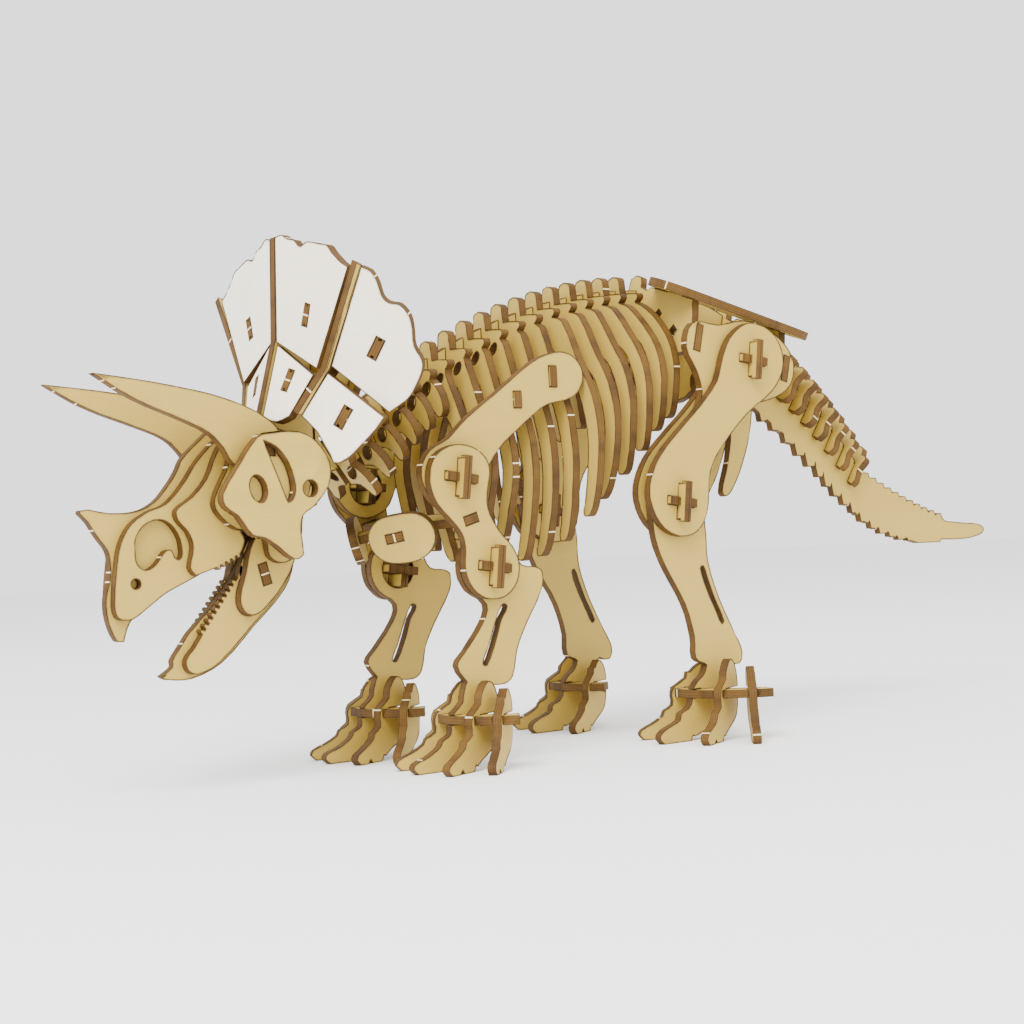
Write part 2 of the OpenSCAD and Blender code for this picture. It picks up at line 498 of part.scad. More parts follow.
nose_pts = [[-91.9, 47.7, 1], [-89, 47.8], [-84.6, 50.5], [-79.6, 53.8], [-75.2, 55.8, 1], [-66, 60],
  [-60.4, 64.4], [-58, 68.4], [-53, 72], [-47, 78], [-46, 90], [-48, 97.4], [-53, 99.4], [-59.4, 96.8],
  [-64.8, 92.4], [-69.2, 87.8], [-71.4, 84.6], [-74.6, 80.8], [-78.3, 77.6], [-83.2, 75.9],
  [-88.2, 72.8], [-91.4, 68], [-93, 61.5], [-94.1, 51.7], [-93.4, 48.6]];
module nose_plates() whole() color(wood) both_sides() side(-ply) difference() {
  polygon(smooth(nose_pts));
  polygon(smooth([[-87.4, 65], [-86.9, 69.4], [-83.4, 72.9], [-78.5, 73.2], [-75, 69.5], [-74, 64.9],
    [-74.7, 63], [-76.1, 63.4], [-77, 65.4], [-78.9, 65.2], [-81.6, 62], [-84.7, 60.5], [-87, 62.2]]));
  translate([-87.7, 57]) circle(d = 2.6, $fn = 24);
  bar_holes([0, 2]);
}

// tooth row from a to b, teeth of height h to the right of the direction of travel
function tooth_row(a, b, n, h) = let (d = (b - a) / n, q = h * unit([d[1], -d[0]]))
  [for (i = [0 : n - 1]) each [a + d * (i + 0.12), a + d * (i + 0.3) + q, a + d * (i + 0.7) + q,
    a + d * (i + 0.88)]];

// the forehead steps back layer by layer
function brow_front(s) = [[-63.4 + s, 92.4], [-66.8 + s, 84.4], [-71.2 + s, 79.6], [-75.8 + s, 76.4]];
module maxilla() {
  side(-2 * ply) difference() {
    polygon(concat(smooth([[-71.4, 58.2, 1], [-73.1, 60.4], [-71.9, 65.9], [-73.2, 69.9], [-76.1, 73.3],
      [-76.2, 76], [-71.4, 79.3], [-66.8, 84.2], [-63.9, 90.4], [-60, 96], [-54, 98.6], [-46, 98],
      [-38, 93], [-36, 84], [-38.4, 77.4], [-46, 75.2], [-54, 74.6], [-57.4, 70.4], [-56.3, 66.9],
      [-57.8, 63.6, 1]]), tooth_row([-57.8, 63.6], [-65.4, 60], 5, -0.9)));
    bar_holes();
  }
  side(-3 * ply - turn_gap) difference() {
    union() {
      polygon(smooth([[-64.8, 73.6], [-66.6, 77.2], [-65, 81.4], [-62.4, 86], [-60.6, 90.6],
        [-57.6, 95], [-52, 97.4], [-44, 96.4], [-37.6, 91], [-36.4, 82], [-39.2, 74], [-40.6, 66],
        [-42.8, 61.8], [-47, 60.3], [-50.6, 62.4], [-51.6, 67], [-55, 69.6], [-60, 70]]));
    }
    bar_holes();
    translate(jaw_at) circle(d = jaw_pin_d + 0.04, $fn = 32);
  }
}
module maxilla_left() left() color(wood) maxilla();
module maxilla_right() right() color(wood) maxilla();

horn_pts = [[-103.2, 111, 1], [-95.5, 106.4], [-88.1, 103], [-77.5, 99.1], [-69.7, 95.7], [-65.6, 91.7],
  [-62.6, 87.4], [-56, 86.4], [-49, 87.4], [-46.6, 92], [-48, 97], [-52.4, 100.4], [-58.7, 103.2],
  [-67.9, 105.9], [-77, 107.6], [-88.9, 109.4]];
horn_y = 3.5 * ply + turn_gap + 0.25;
module brow_horn() {
  translate([-45, -horn_y - ply / 2, 0]) rotate([0, 0, horn_flare]) translate([45, 0, 0])
    side(0) difference() { polygon(smooth(horn_pts)); bar_holes([0], 0.35); }
}
module brow_horn_left() left() color(wood) brow_horn();
module brow_horn_right() right() color(wood) brow_horn();

cheek_y = horn_y + ply + 24 * tan(horn_flare) + 0.3;
cheek_pts = [[-58.2, 94.1], [-64.3, 86.4], [-69.2, 79.3], [-68.6, 76], [-65, 73.4], [-61, 68.2],
  [-57.2, 67.2], [-53.5, 64.8], [-48.6, 61.2], [-45.9, 62.2], [-45.8, 64.4], [-46.2, 69],
  [-45.3, 72.9], [-41.9, 75.1], [-36.9, 80.7], [-36.2, 87], [-40.1, 92.8], [-45.2, 95.4], [-53.7, 95.2]];
module cheek() {
  side(-cheek_y - ply / 2) difference() {
    translate([1.1, 0]) polygon(smooth(cheek_pts));
    bar_holes();
    translate([-42.7, 80.1]) circle(d = cheek_hole_d + 2, $fn = 32);
  }
  side(-cheek_y - 1.5 * ply) difference() {
    polygon(smooth(cheek_pts));
    translate([-58.5, 80.4]) rotate(15) polygon([for (t = [0 : 18 : 342]) [eye_w / 2 * cos(t), 3.7 * sin(t)]]);
    translate([-42.7, 80.1]) circle(d = cheek_hole_d, $fn = 32);
    polygon(smooth([[-56.4, 93.2, 1], [-52.6, 91.4], [-49, 87], [-47.4, 81], [-48.2, 77.4], [-49.8, 76.6, 1],
      [-52.6, 84]]));
  }
}
module cheek_left() left() color(wood) cheek();
module cheek_right() right() color(wood) cheek();

module skull_spacers() whole() color(wood)
  for (p = [bar_1, bar_2, bar_3])
    translate([p[0] - 1.25, -cheek_y - ply + 0.05, p[1] - 2.7]) cube([2.5, 2 * (cheek_y + ply - 0.05), 5.4]);

jaw_pts = [[-80.8, 32.1, 1], [-77.3, 34.3], [-77.2, 36], [-74.6, 39.6], [-71.5, 43.4], [-64, 50.4],
  [-57.2, 58.4], [-53.6, 66], [-50.6, 70.2], [-45.8, 71.6], [-41, 69.8], [-38.9, 65], [-38.6, 60.4],
  [-41.9, 53], [-52.3, 43.2], [-62.5, 34.2], [-71.6, 30.7], [-79, 31]];
module jaw_core() whole() color(wood) side(0) difference() {
  polygon(smooth(jaw_pts));
  hole([-50.7, 57.6], 2.5, 5.8, 14);
  translate(jaw_at) circle(d = jaw_pin_d + 0.12, $fn = 32);
}
module jaw_side() {
  side(-ply) difference() {
    polygon(concat(tooth_row([-69.4, 42.2], [-58.2, 56.4], teeth, -1), smooth([[-57.6, 57.3, 1],
      [-56, 62], [-53.7, 66.8], [-50.6, 70], [-45.8, 71.4], [-41.4, 69.4], [-39.8, 65], [-40.2, 60.4],
      [-44, 53.1], [-54.4, 43.4], [-64.5, 34.5], [-70.9, 31.9], [-73.8, 33], [-74.4, 35.9],
      [-71.8, 39, 1]])));
    hole([-50.7, 57.6], 2.5, 5.8, 14);
    translate(jaw_at) circle(d = jaw_pin_d + 0.12, $fn = 32);
  }
  side(-2 * ply) difference() {
    polygon(smooth([[-58.6, 51.6], [-57.6, 47.8], [-54.4, 46.6], [-50.6, 48.8], [-45.4, 54], [-41.4, 60.4],
      [-40.4, 66], [-43.4, 70.4], [-48, 71], [-52.4, 68.4], [-54.8, 64.6], [-56.6, 58]]));
    hole([-50.7, 57.6], 2.5, 5.8, 14);
    translate(jaw_at) circle(d = jaw_pin_d + 0.12, $fn = 32);
  }
  if (true) translate([-50.7, -2.5 * ply, 57.6]) rotate([0, -14, 0])
    translate([-1.25, 0, -2.9]) cube([2.5, 2.5 * ply - 0.01, 5.8]);
}
module jaw_side_left() left() color(wood) jaw_side();
module jaw_side_right() right() color(wood) jaw_side();
module jaw_pin() whole() color(wood) translate([jaw_at[0], 3.5 * ply + turn_gap, jaw_at[1]])
  rotate([90, 0, 0]) cylinder(d = jaw_pin_d, h = 2 * (3.5 * ply + turn_gap), $fn = 32);

// ---------------------------------------------------------------- frill
// flat panel in space: corner p, turned by yaw, leaning by a, h deep behind its front face
module panel(p, yaw, a, h) {
  translate(p) rotate([0, 0, yaw]) rotate([90 + a, 0, 0]) translate([0, 0, -h])
    linear_extrude(h) children();
}
module tenon_hole(t) { translate([t[0], t[1]]) rotate(t[2]) square([slot, 6 + 2 * slot_fit], center = true); }
// end of a tenon, relieved in the middle of its short sides
module tenon(t) {
  translate([t[0], t[1]]) rotate(t[2]) difference() {
    square([ply, 6], center = true);
    for (s = [-1, 1]) translate([0, 3 * s]) square([1, 1.4], center = true);
  }
}

inner_up = [[1.6, -0.8, 1], [1.6, 28.3, 1], [4.4, 28.8], [7.6, 27.2], [10.6, 26.4], [13.5, 24.2],
  [16.6, 25], [19.8, 24.4], [23.3, 23.4], [25.8, 22.8], [28.3, 20.4], [32, 17.4, 1], [35.4, 15.4, 1],
  [20.4, -10, 1]];
outer_up = [[14.92, 26.4, 1], [17.4, 25], [18.8, 21.9], [19.5, 18], [21, 16.3], [24, 15.4], [26.1, 12.2],
  [26.4, 8.3], [26.2, 4], [27.8, -0.1], [27.3, -3.1], [23.8, -8.6], [21.2, -11], [16.4, -13.6, 1],
  [2.2, 0.36, 1]];
outer_low = [[1, -1.4, 1], [16, -14.4, 1], [13.4, -17.4], [9, -21.4], [5.6, -24.2], [2.4, -25.8],
  [0.6, -25.6, 1], [-0.2, -23.4], [-1.6, -20.6], [-3.4, -17, 1], [-7.45, -12.4, 1]];
inner_low = [[3.6, 19.4, 1], [19.6, 9.2, 1], [12.6, -2, 1], [8, -3.2], [2.1, -1.4, 1]];

// frames of the four panels of one side, and the middle and turn of each tenon hole
module in_inner_up(h = ply) { panel([-41, 0, 122.4], -85.4, -2.4, h) children(); }
module in_outer_up(h = ply) { panel([-38.4, -22.1, 112.3], -51.3, 18.7, h) children(); }
module in_inner_low(h = ply) { panel([-46.9, 0, 102], -76, -15.7, h) children(); }
module in_outer_low(h = ply) { panel([-38.4, -22.1, 112.3], -51.3, 4.3, h) children(); }
tenons = [[15.9, 5, -17.5], [15.5, 4.2, -34], [9.9, 8.6, -17.5], [4.4, -13.6, -34]];

module frill_upper() {
  in_inner_up() difference() { polygon(smooth(inner_up)); tenon_hole(tenons[0]); }
  in_outer_up() difference() { polygon(smooth(outer_up)); tenon_hole(tenons[1]); }
}
module frill_upper_left() left() color(pale) frill_upper();
module frill_upper_right() right() color(pale) frill_upper();
module frill_lower() {
  in_inner_low() difference() { polygon(smooth(inner_low)); tenon_hole(tenons[2]); }
  in_outer_low() difference() { polygon(smooth(outer_low)); tenon_hole(tenons[3]); }
}
module frill_lower_left() left() color(pale) frill_lower();
module frill_lower_right() right() color(pale) frill_lower();

// radial plate through the frill axis, tilted outwards by a; drawn as (x, radius)
module radial(a, off = 0) {
  translate([0, 0, frill_foot]) rotate([a, 0, 0]) side(off) difference() {
    children();
    for (r = arch_r) translate([arch_x - slot / 2, r[0] - slot_fit]) square([30, r[1] - r[0] + 2 * slot_fit]);
  }
}
module frill_ribs() {
  difference() {
    frill_rib_plate();
    // seats for the outer panels
    in_outer_up(ply + 0.12) polygon([[1.4, -1], [15.56, 28], [24, 28], [12, -4]]);
    in_outer_low(ply + 0.12) polygon([[1.9, 0], [-8.83, -14], [0, -16], [12, -8], [12, 0]]);
  }
  in_inner_up(ply + 1.5) tenon(tenons[0]);
  in_outer_up(ply + 1.5) tenon(tenons[1]);
  in_inner_low(ply + 1.5) tenon(tenons[2]);
  in_outer_low(ply + 1.5) tenon(tenons[3]);
}
module frill_rib_plate() {
  radial(32) polygon(smooth([[-43.8, 28.2, 1], [-38.7, 41.6, 1], [-37.4, 72.8, 1], [-33, 71], [-27, 62],
    [-25.4, 50], [-25.4, 40], [-28, 31], [-34, 27.5]]));
}
module frill_ribs_left() left() color(wood) frill_ribs();
module frill_ribs_right() right() color(wood) frill_ribs();

module arch(r, a) {
  translate([arch_x - ply / 2, 0, frill_foot]) rotate([90, 0, 90]) linear_extrude(ply)
    polygon(concat(arc([0, 0], r[1], 90 - a, 90 + a, 18), arc([0, 0], r[0], 90 + a, 90 - a, 18)));
}
module frill_arches() whole() color(wood) { arch(arch_r[0], 35); arch(arch_r[1], 38); }

// ---------------------------------------------------------------- assembly
skull_core();
nose_plates();
maxilla_left();
maxilla_right();
brow_horn_left();
brow_horn_right();
cheek_left();
cheek_right();
skull_spacers();
jaw_core();
jaw_side_left();
jaw_side_right();
jaw_pin();
frill_upper_left();
frill_upper_right();
frill_lower_left();
frill_lower_right();
frill_ribs_left();
frill_ribs_right();
frill_arches();
spine_plate();
neck_vertebrae();
ribs_1();
ribs_2();
ribs_3();
ribs_4();
ribs_5();
ribs_6();
humerus_bar();
coracoids();
scapula_left();
scapula_right();
humerus_left();
humerus_right();
forearm_left();
forearm_right();
shoulder_axle_left();
shoulder_axle_right();
elbow_axle_left();
elbow_axle_right();
front_foot_left();
front_foot_right();
pelvis_frame();
pelvis_sides();
ilium_blades();
ischia();
femur_left();
femur_right();
shin_left();
shin_right();
hip_axle_left();
hip_axle_right();
knee_axle_left();
knee_axle_right();
rear_foot_left();
rear_foot_right();
tail_plate();
tail_vertebrae();
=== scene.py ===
"""Plywood skeleton kit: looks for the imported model, laid out as a Blender add-on.

Every flat plate of the frame gets a dressed copy: a small chamfer round its outline, a
smoke-browned rim, charred cut edges that show the veneers, and pale nibs where the laser
left the plate joined to its sheet. The stage is a flat pale floor with soft light.
"""

import json
import math

import bmesh
import bpy
import numpy as np
from mathutils import Matrix, Vector
from mathutils.bvhtree import BVHTree


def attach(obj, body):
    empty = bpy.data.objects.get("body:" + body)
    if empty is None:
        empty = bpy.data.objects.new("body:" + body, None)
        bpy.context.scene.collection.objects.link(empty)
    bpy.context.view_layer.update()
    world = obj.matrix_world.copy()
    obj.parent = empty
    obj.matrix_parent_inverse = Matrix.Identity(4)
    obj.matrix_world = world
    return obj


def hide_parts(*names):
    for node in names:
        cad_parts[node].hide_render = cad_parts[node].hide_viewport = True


bl_info = {
    "name": "Plywood Skeleton Kit",
    "version": (1, 0, 0),
    "blender": (4, 5, 0),
    "location": "3D View > Sidebar > Skeleton Kit",
    "description": "Dresses the plates of a slot-together plywood skeleton",
    "category": "Object",
}

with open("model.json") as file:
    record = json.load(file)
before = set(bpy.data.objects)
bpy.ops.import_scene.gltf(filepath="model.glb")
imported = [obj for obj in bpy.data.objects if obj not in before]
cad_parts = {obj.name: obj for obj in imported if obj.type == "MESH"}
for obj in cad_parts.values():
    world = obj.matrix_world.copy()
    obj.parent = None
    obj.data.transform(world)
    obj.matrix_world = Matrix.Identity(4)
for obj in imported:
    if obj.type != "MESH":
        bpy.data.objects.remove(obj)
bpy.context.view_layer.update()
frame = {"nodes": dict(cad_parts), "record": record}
NODES = frame["nodes"]
BODIES = frame["record"]["behaviour"]["bodies"]
BODY_OF = {node: body for body, nodes in BODIES.items() for node in nodes}
SLOT_OF = {part["node"]: part["material_slot"] for part in frame["record"]["subparts"]}
FINISHES = {}

MM = 0.001
WELD = 2e-6             # points closer than this are one point
PLATE_SHARE = 0.3       # a solid is a flat plate if its two faces are at least this share of its area
FACE_LEAN = 0.995       # a face belongs to the flat sides if it is this square to them
CREASE = math.radians(32)  # edges sharper than this stay sharp
TONE_SEED = 1000        # the first draws of the plates' shades and of the nibs' places
NIB_SEED = 77
NIB_RUN = 0.9 * MM      # shortest straight run of an outline that can carry a nib
NIB_LIFT = 0.2 * MM     # height over the outline from which a nib looks for other plates
NIB_ROOM = 2.2 * MM     # free room that a nib needs in front of it
NIB_REACH = 0.8 * MM    # how far up and down the edge that room is tested
NO_NIBS = "axle", "jaw_pin", "spine_plate", "spacers"
KEY_PLACE, FILL_PLACE = (-0.75, -0.55, 1.15), (-0.1, -1.4, 0.5)
MODEL_MIDDLE = Vector((0, 0, 0.07))


# ---------------------------------------------------------------- shader helpers
class Sock:
    """A node socket or number that takes part in plain arithmetic."""

    def __init__(self, tree, value):
        self.tree, self.value = tree, value

    def _math(self, operation, *others):
        node = self.tree.nodes.new("ShaderNodeMath")
        node.operation = operation
        for spot, value in enumerate((self, *others)):
            put(self.tree, node.inputs[spot], value)
        return Sock(self.tree, node.outputs[0])

    def __add__(self, other):
        return self._math("ADD", other)

    def __sub__(self, other):
        return self._math("SUBTRACT", other)

    def __rsub__(self, other):
        return Sock(self.tree, other)._math("SUBTRACT", self)

    def __mul__(self, other):
        return self._math("MULTIPLY", other)

    def __truediv__(self, other):
        return self._math("DIVIDE", other)

    def __pow__(self, other):
        return self._math("POWER", other)

    def __abs__(self):
        return self._math("ABSOLUTE")

    __radd__, __rmul__ = __add__, __mul__

    def clamp(self, low=0.0, high=1.0):
        return self._math("MAXIMUM", low)._math("MINIMUM", high)

    def step(self, low, high):
        """0 below low, 1 above high, smooth between."""
        t = ((self - low) / (high - low)).clamp()
        return t * t * (3 - 2 * t)


def put(tree, socket, value):
    if isinstance(value, Sock):
        value = value.value
    if isinstance(value, bpy.types.NodeSocket):
        tree.links.new(value, socket)
    else:
        socket.default_value = value


class Finish:
    """One material: its node tree, and short ways to add nodes to it."""

    def __init__(self, name):
        self.material = bpy.data.materials.new(name)
        self.material.use_nodes = True
        self.tree = self.material.node_tree
        self.shader = self.tree.nodes["Principled BSDF"]

    def node(self, kind, settings=None, out=0, **inputs):
        made = self.tree.nodes.new(kind)
        for key, value in (settings or {}).items():
            setattr(made, key, value)
        for key, value in inputs.items():
            put(self.tree, made.inputs[key.replace("_", " ")], value)
        return Sock(self.tree, made.outputs[out])

    def attribute(self, name, out):
        return self.node("ShaderNodeAttribute", {"attribute_name": name}, out)

    def stretched(self, vector, scale, shift=(0, 0, 0)):
        return self.node("ShaderNodeMapping", Vector=vector, Scale=scale, Location=shift)

    def noise(self, vector, detail=2.0, rough=0.5):
        return self.node("ShaderNodeTexNoise", {"noise_dimensions": "3D"}, 0, Vector=vector,
                         Scale=1.0, Detail=detail, Roughness=rough)

    def mix(self, factor, first, second):
        made = self.tree.nodes.new("ShaderNodeMix")
        made.data_type = "RGBA"
        put(self.tree, made.inputs[0], factor)
        put(self.tree, made.inputs[6], first)
        put(self.tree, made.inputs[7], second)
        return Sock(self.tree, made.outputs[2])

    def bump(self, height, strength, distance):
        return self.node("ShaderNodeBump", None, 0, Height=height, Strength=strength, Distance=distance)

    def set(self, **values):
        for key, value in values.items():
            put(self.tree, self.shader.inputs[key.replace("_", " ")], value)
        return self.material


def rgba(colour, gain=1.0):
    return tuple(min(1.0, c * gain) for c in colour[:3]) + (1.0,)


def veneer(name, wood, smoke, look):
    """Sanded face of the sheet: long fine grain, short pores, smoke near the cut."""
    f = Finish(name)
    sheet = f.attribute("sheet", 1)
    burn = f.attribute("burn", 2)
    tone = f.attribute("tone", 2)
    streak = f.noise(f.stretched(sheet, (70, 1500, 300)), 3.0, 0.6)
    figure = f.noise(f.stretched(sheet, (9, 95, 30)), 2.0, 0.55)
    pores = f.noise(f.stretched(sheet, (450, 6500, 900)), 1.0, 0.5)
    blotch = f.noise(f.stretched(sheet, (38, 60, 30), (3, 7, 1)), 2.0, 0.5)
    pore = pores.step(0.64, 0.74)
    grain = ((streak - 0.5) * 0.75 + (figure - 0.5) * 0.9 + 0.5).clamp()
    light, dark = rgba(wood, look.grain_light), rgba(tuple(
        c * g for c, g in zip(wood, (look.grain_dark, look.grain_dark * 0.955, look.grain_dark * 0.86))))
    colour = f.mix(grain, dark, light)
    colour = f.mix((blotch - 0.35).clamp() * 0.35, colour, rgba((wood[0], wood[1] * 0.95, wood[2] * 0.82)))
    colour = f.mix(tone.clamp() * 0.4, colour, rgba((wood[0] * 0.93, wood[1] * 0.885, wood[2] * 0.76)))
    colour = f.mix(pore * 0.22, colour, rgba(wood, 0.55))
    waver = f.noise(f.stretched(sheet, (420, 420, 420)), 2.0, 0.6)
    haze = (burn * (0.55 + waver * 0.9)).clamp() ** 1.7
    colour = f.mix(haze * look.smoke_depth, colour, rgba(smoke))
    relief = streak * 0.5 + pores * 0.5 - pore
    return f.set(Base_Color=colour, Roughness=(0.56 + (streak - 0.5) * 0.2 + haze * 0.15).clamp(),
                 Normal=f.bump(relief, 0.16, 0.0001), Specular_IOR_Level=0.32)


def cut_edge(name, char, core, look):
    """Laser-cut side of the sheet: veneers between dark glue lines, with fine burn marks."""
    f = Finish(name)
    sheet = f.attribute("sheet", 1)
    tone = f.attribute("tone", 2)
    height = f.node("ShaderNodeSeparateXYZ", None, 2, Vector=sheet)
    depth = abs((height / look.sheet)._math("FRACT") * 2 - 1)
    wobble = f.noise(f.stretched(sheet, (260, 260, 120)), 2.0, 0.5)
    level = depth + (wobble - 0.5) * 0.14
    stria = f.noise(f.stretched(sheet, (3600, 3600, 60)), 2.0, 0.6)
    patch = f.noise(f.stretched(sheet, (120, 120, 60), (5, 1, 2)), 2.0, 0.6)
    glue = level.step(0.26, 0.33) * (1 - level.step(0.37, 0.44))
    skin = level.step(0.74, 0.96)
    colour = f.mix((stria - 0.3).clamp() * 1.1, rgba(core), rgba(core, 0.62))
    colour = f.mix(patch.step(0.42, 0.72) * 0.6, colour, rgba(char, 1.7))
    colour = f.mix(glue * 0.55, colour, rgba(char, 1.2))
    colour = f.mix(skin * look.skin_char, colour, rgba(char))
    colour = f.mix(tone.clamp() * 0.3, colour, rgba(char, 1.6))
    return f.set(Base_Color=colour, Roughness=(0.62 + stria * 0.2).clamp(),
                 Normal=f.bump(stria * 0.6 + glue * 0.4, 0.3, 0.00012), Specular_IOR_Level=0.25)


def torn_nib(name, wood):
    """Pale torn fibres where a plate was snapped out of its sheet."""
    f = Finish(name)
    place = f.node("ShaderNodeTexCoord", None, 3)
    fibre = f.noise(f.stretched(place, (2500, 2500, 600)), 3.0, 0.7)
    colour = f.mix(fibre.step(0.3, 0.75), rgba(wood, 0.8), rgba(wood, 1.12))
    return f.set(Base_Color=colour, Roughness=(0.6 + fibre * 0.3).clamp(),
                 Normal=f.bump(fibre, 0.4, 0.0001), Specular_IOR_Level=0.2)


def studio_floor(name, colour):
    f = Finish(name)
    place = f.node("ShaderNodeTexCoord", None, 3)
    cloud = f.noise(f.stretched(place, (3, 3, 3)), 2.0, 0.5)
    shade = f.mix(cloud * 0.1, rgba(colour), rgba(colour, 0.985))
    return f.set(Base_Color=shade, Roughness=(0.7 + cloud * 0.1).clamp(), Specular_IOR_Level=0.1)


# ---------------------------------------------------------------- plate dressing
def islands(bm):
    """Each closed plate of the mesh, as a list of its faces."""
    seen, groups = set(), []
    for first in bm.faces:
        if first.index in seen:
            continue
        stack, group = [first], []
        seen.add(first.index)
        while stack:
            face = stack.pop()
            group.append(face)
            for edge in face.edges:
                for other in edge.link_faces:
                    if other.index not in seen:
                        seen.add(other.index)
                        stack.append(other)
        groups.append(group)
    return groups


def plate_normal(faces):
    """The direction that most of a plate's surface faces, and that share of its area."""
    best, total = [], 0.0
    for face in faces:
        area, normal = face.calc_area(), face.normal
        total += area
        for entry in best:
            if abs(entry[0].dot(normal)) > 0.999:
                entry[1] += area
                break
        else:
            best.append([normal.copy(), area])
    best.sort(key=lambda entry: -entry[1])
    return best[0][0].normalized(), best[0][1] / total


def grain_axes(normal):
    """Veneer directions on a plate: grain runs along the model, or upwards on cross plates."""
    along = Vector((1, 0, 0)) if abs(normal.x) < 0.75 else Vector((0, 0, 1))
    along = (along - normal * along.dot(normal)).normalized()
    return along, normal.cross(along)


def dress(node, look, index):
    """A copy of one CAD node with chamfered, rim-browned plates and their layer data."""
    mesh = NODES[node].data.copy()
    mesh.materials.clear()
    for material in ("face", "edge"):
        mesh.materials.append(FINISHES[(SLOT_OF[node], material)])
    bm = bmesh.new()
    bm.from_mesh(mesh)
    bmesh.ops.remove_doubles(bm, verts=bm.verts, dist=WELD)
    bm.normal_update()
    bm.faces.index_update()
    burn = bm.verts.layers.float.new("burn")
    tone = bm.verts.layers.float.new("tone")
    sheet = bm.verts.layers.float_vector.new("sheet")
    chamfer, rim = look.chamfer, look.rim
    for count, group in enumerate(islands(bm)):
        rng = np.random.default_rng(TONE_SEED * index + count)
        normal, share = plate_normal(group)
        verts = list({vert for face in group for vert in face.verts})
        bottom = min(vert.co.dot(normal) for vert in verts)
        sides = []
        flat = {+1: [], -1: []}
        for face in group:
            lean = face.normal.dot(normal)
            if abs(lean) > FACE_LEAN:
                flat[1 if lean > 0 else -1].append(face)
            else:
                sides.append(face)
        for face in sides:
            face.material_index, face.smooth = 1, True
        made = set(verts)
        if share > PLATE_SHARE and flat[1] and flat[-1]:
            for sign in (1, -1):
                region = flat[sign]
                outer = [v for v in {v for face in region for v in face.verts}
                         if any(f not in region for f in v.link_faces)]
                ring = bmesh.ops.inset_region(bm, faces=region, thickness=chamfer, use_even_offset=False,
                                              use_boundary=True)["faces"]
                for face in ring:
                    face.material_index, face.smooth = 1, False
                for vert in outer:
                    vert.co -= normal * sign * chamfer * 0.8
                haze = bmesh.ops.inset_region(bm, faces=region, thickness=rim, use_even_offset=False,
                                              use_boundary=True)["faces"]
                for face in haze:
                    face.material_index, face.smooth = 0, False
                dark = {v for face in ring for v in face.verts}
                for vert in dark:
                    vert[burn] = 1.0
                for face in [*ring, *haze, *region]:
                    made.update(face.verts)
        along, across = grain_axes(normal)
        shift = rng.uniform(-0.4, 0.4, 2)
        shade = float(rng.uniform(0, 1))
        for vert in made:
            vert[tone] = shade
            vert[sheet] = (vert.co.dot(along) + shift[0], vert.co.dot(across) + shift[1],
                           vert.co.dot(normal) - bottom)
    bm.normal_update()
    bm.to_mesh(mesh)
    bm.free()
    mesh.set_sharp_from_angle(angle=CREASE)
    piece = bpy.data.objects.new(node + "_plate", mesh)
    bpy.context.scene.collection.objects.link(piece)
    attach(piece, BODY_OF[node])
    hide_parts(node)


# ---------------------------------------------------------------- nibs by geometry nodes
def nib_places(names, spacing, clear, seed):
    """Places along the outlines where a plate was joined to its sheet: point, out and across."""
    rng = np.random.default_rng(seed)
    places = []
    for node in names:
        mesh = NODES[node].data
        bm = bmesh.new()
        bm.from_mesh(mesh)
        bmesh.ops.remove_doubles(bm, verts=bm.verts, dist=WELD)
        bm.normal_update()
        bm.faces.index_update()
        for group in islands(bm):
            normal, share = plate_normal(group)
            if share < PLATE_SHARE:
                continue
            spots = {}
            for face in group:
                if abs(face.normal.dot(normal)) > 0.1:
                    continue
                middle = face.calc_center_median()
                key = tuple(round(c, 2) for c in face.normal), round(middle.dot(face.normal) / 2e-5)
                spots.setdefault(key, []).append(face)
            heights = [v.co.dot(normal) for face in group for v in face.verts]
            level = (max(heights) + min(heights)) / 2
            strips = []
            for faces in spots.values():
                verts = {v for face in faces for v in face.verts}
                along = normal.cross(faces[0].normal).normalized()
                spans = [v.co.dot(along) for v in verts]
                if max(spans) - min(spans) > NIB_RUN:
                    out = faces[0].normal.copy()
                    point = along * ((max(spans) + min(spans)) / 2) + normal * level
                    point += out * faces[0].verts[0].co.dot(out)
                    strips.append((point, out, max(spans) - min(spans)))
            length = sum(strip[2] for strip in strips)
            for _ in range(max(2, round(length / spacing))):
                if strips:
                    point, out, _ = strips.pop(int(rng.integers(len(strips))))
                    if clear(point + out * NIB_LIFT, out, normal):
                        places.append((point, out, normal))
        bm.free()
    return places


